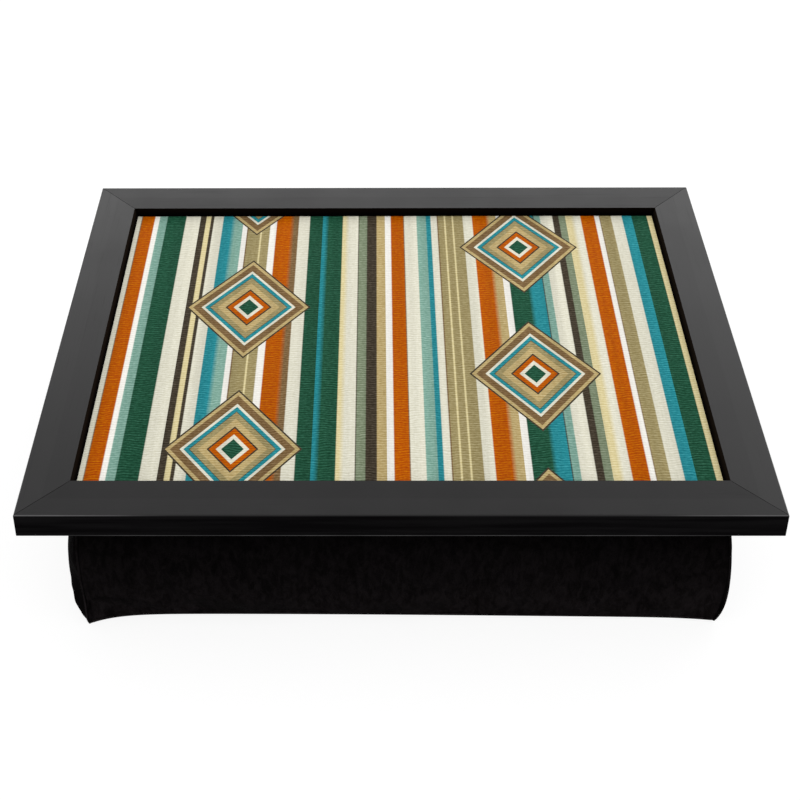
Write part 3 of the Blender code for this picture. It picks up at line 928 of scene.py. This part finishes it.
def cover_lattice(cells_x, cells_y, inset=0.0):
    """Points, their lattice keys and the squares of the closed cover."""
    levels = smooth_levels()
    top = len(levels) - 1
    keys = [
        (i, j, k)
        for k in range(top + 1)
        for j in range(cells_y + 1)
        for i in range(cells_x + 1)
        if k in (0, top) or i in (0, cells_x) or j in (0, cells_y)
    ]
    index = {key: number for number, key in enumerate(keys)}
    points = []
    for i, j, k in keys:
        across = crowded(2 * i / cells_x - 1)
        along = crowded(2 * j / cells_y - 1)
        x, y, z = cover_point(across, along, levels[k], inset)
        rim = i in (0, cells_x) or j in (0, cells_y)
        if k == top:
            z += TOP_CROWN * (1 - across**4) * (1 - along**4) - inset
        elif k == 0:
            z = inset + (z if rim else 0)
        points.append((x, y, z))
    return points, keys, lattice_faces(index, (cells_x, cells_y, top))


def on_seam(key, cells_x, cells_y, top):
    """Whether a lattice point lies on a corner seam, the bottom seam or the top seam."""
    i, j, k = key
    side = i in (0, cells_x) or j in (0, cells_y)
    corner = i in (0, cells_x) and j in (0, cells_y)
    return corner or (side and k in (0, top))


def tucked(key, cells_x, cells_y):
    """Whether a lattice point lies on an end panel, next to its corner seams."""
    i, j, _ = key
    return i in (0, cells_x) and min(j, cells_y - j) <= TUCKED_COLUMNS


def made_mesh(name, points, faces):
    mesh = bpy.data.meshes.new(name)
    mesh.from_pydata(points, [], faces)
    builder = bmesh.new()
    builder.from_mesh(mesh)
    bmesh.ops.recalc_face_normals(builder, faces=builder.faces)
    builder.to_mesh(mesh)
    builder.free()
    mesh.shade_smooth()
    return mesh


def add_object(name, mesh, material):
    mesh.materials.clear()
    mesh.materials.append(material)
    obj = bpy.data.objects.new(name, mesh)
    bpy.context.scene.collection.objects.link(obj)
    return obj


def coordinates(mesh):
    values = np.zeros(len(mesh.vertices) * 3)
    mesh.vertices.foreach_get("co", values)
    return values.reshape(-1, 3)


def write_coordinates(mesh, values):
    mesh.vertices.foreach_set("co", np.asarray(values, np.float32).ravel())
    mesh.update()


def height_limits(values):
    """The highest that each point of the cover may be."""
    x = np.abs(values[:, 0])
    y = np.abs(values[:, 1])
    limits = np.full(len(values), UNDER_BOARD_LIMIT)
    for name in nodes_named("_loop_tape"):
        low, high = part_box(name)
        out_x = np.maximum(low.x - values[:, 0], values[:, 0] - high.x)
        out_y = np.maximum(low.y - values[:, 1], values[:, 1] - high.y)
        out = np.maximum(out_x, out_y)
        share = np.clip((out - TAPE_SLOPE_START) / TAPE_SLOPE_WIDTH, 0, 1)
        limit = UNDER_TAPE_LIMIT + share * (UNDER_BOARD_LIMIT - UNDER_TAPE_LIMIT)
        limits = np.minimum(limits, limit)
    under_rail = (x > RECESS_HALF_X - RECESS_CLEARANCE) | (y > RECESS_HALF_Y - RECESS_CLEARANCE)
    limits[under_rail] = UNDER_RAIL_LIMIT
    return limits


def swell_cover(obj, pinned_numbers):
    """Blows the side panels out as cloth that is a little larger than its seams."""
    start = coordinates(obj.data)
    normals = np.zeros(len(start) * 3)
    obj.data.vertices.foreach_get("normal", normals)
    normals = normals.reshape(-1, 3)
    free = np.ones(len(start), bool)
    free[pinned_numbers] = False
    uneven = [noise.noise(Vector(point) * UNEVENNESS_PER_METRE) for point in start]
    pushed = start + normals * (UNEVENNESS * np.array(uneven) * free)[:, None]
    write_coordinates(obj.data, pushed)

    group = obj.vertex_groups.new(name="sewn")
    group.add([int(number) for number in pinned_numbers], 1.0, "REPLACE")
    cloth = obj.modifiers.new("cloth", "CLOTH")
    for name, value in CLOTH_SETTINGS.items():
        setattr(cloth.settings, name, value)
    cloth.settings.effector_weights.gravity = 0
    cloth.point_cache.frame_start = 1
    cloth.point_cache.frame_end = CLOTH_FRAMES
    for number in range(1, CLOTH_FRAMES + 1):
        bpy.context.scene.frame_set(number)
    graph = bpy.context.evaluated_depsgraph_get()
    result = obj.evaluated_get(graph).data
    moved = coordinates(result) - start
    outwards = (moved * normals).sum(axis=1)
    moved -= normals * np.minimum(outwards + DENT_CAP, 0)[:, None]
    lengths = np.linalg.norm(moved, axis=1)
    cap = np.minimum(1, SWELL_CAP / np.maximum(lengths, SWELL_CAP))
    obj.modifiers.remove(cloth)
    write_coordinates(obj.data, start + moved * cap[:, None])
    bpy.context.scene.frame_set(1)


def settle(mesh):
    """Keeps the cover on the floor and clear of the rails, the board and the tapes."""
    values = coordinates(mesh)
    values[:, 2] = np.clip(values[:, 2], 0, height_limits(values))
    write_coordinates(mesh, values)


def mark_seams(mesh, seam_numbers):
    """Sharp edges where the panels meet, for the subdivision."""
    seams = set(seam_numbers)
    crease = mesh.attributes.new("crease_edge", "FLOAT", "EDGE")
    for edge in mesh.edges:
        if edge.vertices[0] in seams and edge.vertices[1] in seams:
            crease.data[edge.index].value = 1.0


def apply_subdivision(obj):
    smooth = obj.modifiers.new("smooth", "SUBSURF")
    smooth.levels = 1
    smooth.render_levels = 1
    graph = bpy.context.evaluated_depsgraph_get()
    mesh = bpy.data.meshes.new_from_object(obj.evaluated_get(graph))
    obj.modifiers.remove(smooth)
    obj.data = mesh
    mesh.shade_smooth()


def cord(name, paths, radius, material, cyclic=False):
    """Round cord along each path."""
    curve = bpy.data.curves.new(name, "CURVE")
    curve.dimensions = "3D"
    curve.bevel_depth = radius
    curve.bevel_resolution = 2
    curve.use_fill_caps = True
    for path in paths:
        spline = curve.splines.new("POLY")
        spline.points.add(len(path) - 1)
        for point, place in zip(spline.points, path):
            point.co = (*place, 1)
        spline.use_cyclic_u = cyclic
    guide = bpy.data.objects.new(name, curve)
    bpy.context.scene.collection.objects.link(guide)
    bpy.context.view_layer.update()
    graph = bpy.context.evaluated_depsgraph_get()
    mesh = bpy.data.meshes.new_from_object(guide.evaluated_get(graph))
    bpy.data.objects.remove(guide, do_unlink=True)
    mesh.shade_smooth()
    return add_object(name, mesh, material)


def ring_path(places, cells_x, cells_y, level):
    """The lattice ring at a level, once round."""
    front = [(i, 0, level) for i in range(cells_x)]
    right = [(cells_x, j, level) for j in range(cells_y)]
    rear = [(i, cells_y, level) for i in range(cells_x, 0, -1)]
    left = [(0, j, level) for j in range(cells_y, 0, -1)]
    return [places[key] for key in front + right + rear + left]


def make_cushion():
    """The cover, its seams and the liner inside, all riding on the cushion."""
    cells = (COVER_CELLS_X, COVER_CELLS_Y)
    points, keys, faces = cover_lattice(*cells)
    top = max(k for _, _, k in keys)
    cloth = cover_material("black_sueded_cloth", 1.0)
    # The seams' cloth is paler, a painted highlight on their ridges
    seam_highlight_cloth = cover_material("black_seam_cloth_painted_highlight", SEAM_HIGHLIGHT_LIFT)
    cover = add_object("cushion_cover", made_mesh("cushion_cover", points, faces), cloth)
    seams = [number for number, key in enumerate(keys) if on_seam(key, *cells, top)]
    held = [
        number
        for number, key in enumerate(keys)
        if key[2] in (0, top, top - 1) or on_seam(key, *cells, top) or tucked(key, *cells)
    ]
    swell_cover(cover, held)
    settle(cover.data)
    places = dict(zip(keys, coordinates(cover.data)))
    mark_seams(cover.data, seams)
    apply_subdivision(cover)
    settle(cover.data)
    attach(cover, "cushion")
    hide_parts("cushion_body", "cushion_top_panel")

    corners = []
    for i, side_x in ((0, -1), (cells[0], 1)):
        for j, side_y in ((0, -1), (cells[1], 1)):
            proud = np.array((side_x, side_y, 0)) * SEAM_STANDS_OUT
            corners.append([places[(i, j, k)] + proud for k in range(top + 1)])
    rise = np.array((0, 0, BOTTOM_SEAM_RISE))
    drop = np.array((0, 0, TOP_SEAM_DROP))
    bottom = [[place + rise for place in ring_path(places, *cells, 0)]]
    upper = [[place - drop for place in ring_path(places, *cells, top)]]
    for name, paths, cyclic in (
        ("cover_corner_seams", corners, False),
        ("cover_bottom_seam", bottom, True),
        ("cover_top_seam", upper, True),
    ):
        seam = cord(name, paths, SEAM_RADIUS, seam_highlight_cloth, cyclic)
        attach(seam, "cushion")

    points, keys, faces = cover_lattice(*LINER_CELLS, LINER_INSET)
    liner = add_object("bead_liner", made_mesh("bead_liner", points, faces), liner_material())
    apply_subdivision(liner)
    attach(liner, "cushion")
    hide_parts("bead_filled_liner")


def make_stitches():
    """Rows of thread round each loop tape, which hold it to the cover."""
    sunk = Vector((0, 0, STITCH_RADIUS))
    paths = []
    for tape in nodes_named("_loop_tape"):
        low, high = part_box(tape)
        low += Vector((STITCH_INSET, STITCH_INSET, 0))
        high -= Vector((STITCH_INSET, STITCH_INSET, 0))
        ring = [(low.x, low.y), (high.x, low.y), (high.x, high.y), (low.x, high.y)]
        ring = [Vector((x, y, high.z)) for x, y in ring]
        for start, end in zip(ring, ring[1:] + ring[:1]):
            count = round((end - start).length / STITCH_PITCH)
            step = (end - start) / count
            for number in range(count):
                first = start + step * number
                last = first + step * STITCH_LENGTH_SHARE
                near = first.lerp(last, STITCH_BEND_SHARE)
                far = first.lerp(last, 1 - STITCH_BEND_SHARE)
                paths.append([first - sunk, near, far, last - sunk])
    stitches = cord("loop_tape_stitches", paths, STITCH_RADIUS, thread_material())
    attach(stitches, "cushion")


def make_camera():
    pitch = math.radians(CAMERA_PITCH_DOWN)
    yaw = math.radians(CAMERA_YAW)
    roll = math.radians(CAMERA_ROLL)
    ahead = Vector(
        (math.sin(yaw) * math.cos(pitch), math.cos(yaw) * math.cos(pitch), -math.sin(pitch))
    )
    level_right = Vector((math.cos(yaw), -math.sin(yaw), 0))
    level_up = level_right.cross(ahead)
    right = level_right * math.cos(roll) + level_up * math.sin(roll)
    up = level_up * math.cos(roll) - level_right * math.sin(roll)
    data = bpy.data.cameras.new("camera")
    data.lens = LENS_MM
    data.sensor_width = SENSOR_MM
    data.shift_x = CAMERA_SHIFT_X_SHARE
    camera = bpy.data.objects.new("camera", data)
    axes = Matrix((right, up, -ahead)).transposed().to_4x4()
    camera.matrix_world = Matrix.Translation(CAMERA_PLACE) @ axes
    bpy.context.scene.collection.objects.link(camera)
    bpy.context.scene.camera = camera


def seen_or_mirrored(tree):
    """1 for rays from the camera and for mirrored or transmitted ones, 0 for the light's."""
    path = tree.nodes.new("ShaderNodeLightPath")
    total = path.outputs["Is Camera Ray"]
    for name in ("Is Glossy Ray", "Is Transmission Ray"):
        either = tree.nodes.new("ShaderNodeMath")
        either.operation = "MAXIMUM"
        tree.links.new(total, either.inputs[0])
        tree.links.new(path.outputs[name], either.inputs[1])
        total = either.outputs[0]
    return total


def make_world():
    world = bpy.data.worlds.new("studio")
    bpy.context.scene.world = world
    world.use_nodes = True
    tree = world.node_tree
    strength = tree.nodes.new("ShaderNodeMapRange")
    tree.links.new(seen_or_mirrored(tree), strength.inputs["Value"])
    strength.inputs["To Min"].default_value = WORLD_LIGHT
    strength.inputs["To Max"].default_value = 1.0
    background = tree.nodes["Background"]
    background.inputs["Color"].default_value = (1, 1, 1, 1)
    tree.links.new(strength.outputs[0], background.inputs["Strength"])


def add_lamp(name, place, size, watts):
    data = bpy.data.lights.new(name, "AREA")
    data.shape = "RECTANGLE"
    data.size, data.size_y = size
    data.energy = watts
    lamp = bpy.data.objects.new(name, data)
    lamp.location = place
    lamp.rotation_mode = "QUATERNION"
    lamp.rotation_quaternion = (Vector(LAMP_TARGET) - Vector(place)).to_track_quat("-Z", "Y")
    bpy.context.scene.collection.objects.link(lamp)


def make_floor():
    """A white floor that keeps the object's shadow."""
    mesh = bpy.data.meshes.new("floor")
    half = FLOOR_SIZE / 2
    corners = [(-half, -half), (half, -half), (half, half), (-half, half)]
    mesh.from_pydata([(x, y, -FLOOR_GAP) for x, y in corners], [], [(0, 1, 2, 3)])
    material = bpy.data.materials.new("floor")
    material.use_nodes = True
    tree = material.node_tree
    tree.nodes.clear()
    output = tree.nodes.new("ShaderNodeOutputMaterial")
    bounce = tree.nodes.new("ShaderNodeBsdfDiffuse")
    bounce.inputs["Color"].default_value = (*(3 * [FLOOR_BOUNCE]), 1)
    shadow = tree.nodes.new("ShaderNodeBsdfDiffuse")
    shadow.inputs["Color"].default_value = (*(3 * [FLOOR_SHADOW_SHARE]), 1)
    glow = tree.nodes.new("ShaderNodeEmission")
    glow.inputs["Strength"].default_value = FLOOR_GLOW
    seen = tree.nodes.new("ShaderNodeAddShader")
    tree.links.new(shadow.outputs[0], seen.inputs[0])
    tree.links.new(glow.outputs[0], seen.inputs[1])
    either = tree.nodes.new("ShaderNodeMixShader")
    tree.links.new(seen_or_mirrored(tree), either.inputs[0])
    tree.links.new(bounce.outputs[0], either.inputs[1])
    tree.links.new(seen.outputs[0], either.inputs[2])
    tree.links.new(either.outputs[0], output.inputs[0])
    add_object("floor", mesh, material)


def make_light():
    view = bpy.context.scene.view_settings
    view.view_transform = "Standard"
    make_world()
    add_lamp("back_lamp", BACK_LAMP_PLACE, BACK_LAMP_SIZE, BACK_LAMP_WATTS)
    add_lamp("side_lamp", SIDE_LAMP_PLACE, SIDE_LAMP_SIZE, SIDE_LAMP_WATTS)
    make_floor()


def dress_nodes():
    # The lips' tops get painted light that differs between the long and the short rails
    lip_light_top = SHADES["long_lip_painted_light"]
    long_foil = foil_material("black_foil_long", True, LONG_RAIL_GLOSS, lip_light_top)
    dress(("front_rail", "rear_rail"), long_foil)
    lip_light_top = SHADES["short_lip_painted_light"]
    short_foil = foil_material("black_foil_short", False, SHORT_RAIL_GLOSS, lip_light_top)
    dress(("left_rail", "right_rail"), short_foil)
    dress(("printed_laminate",), print_material())
    dress(("tray_board",), hardboard_material())
    dress(nodes_named("_nail_", "_point_"), steel_material())
    dress(nodes_named("_hook_tape"), hook_tape_material())
    dress(nodes_named("_loop_tape"), loop_tape_material())


make_camera()
make_light()
dress_nodes()
make_cushion()
make_stitches()
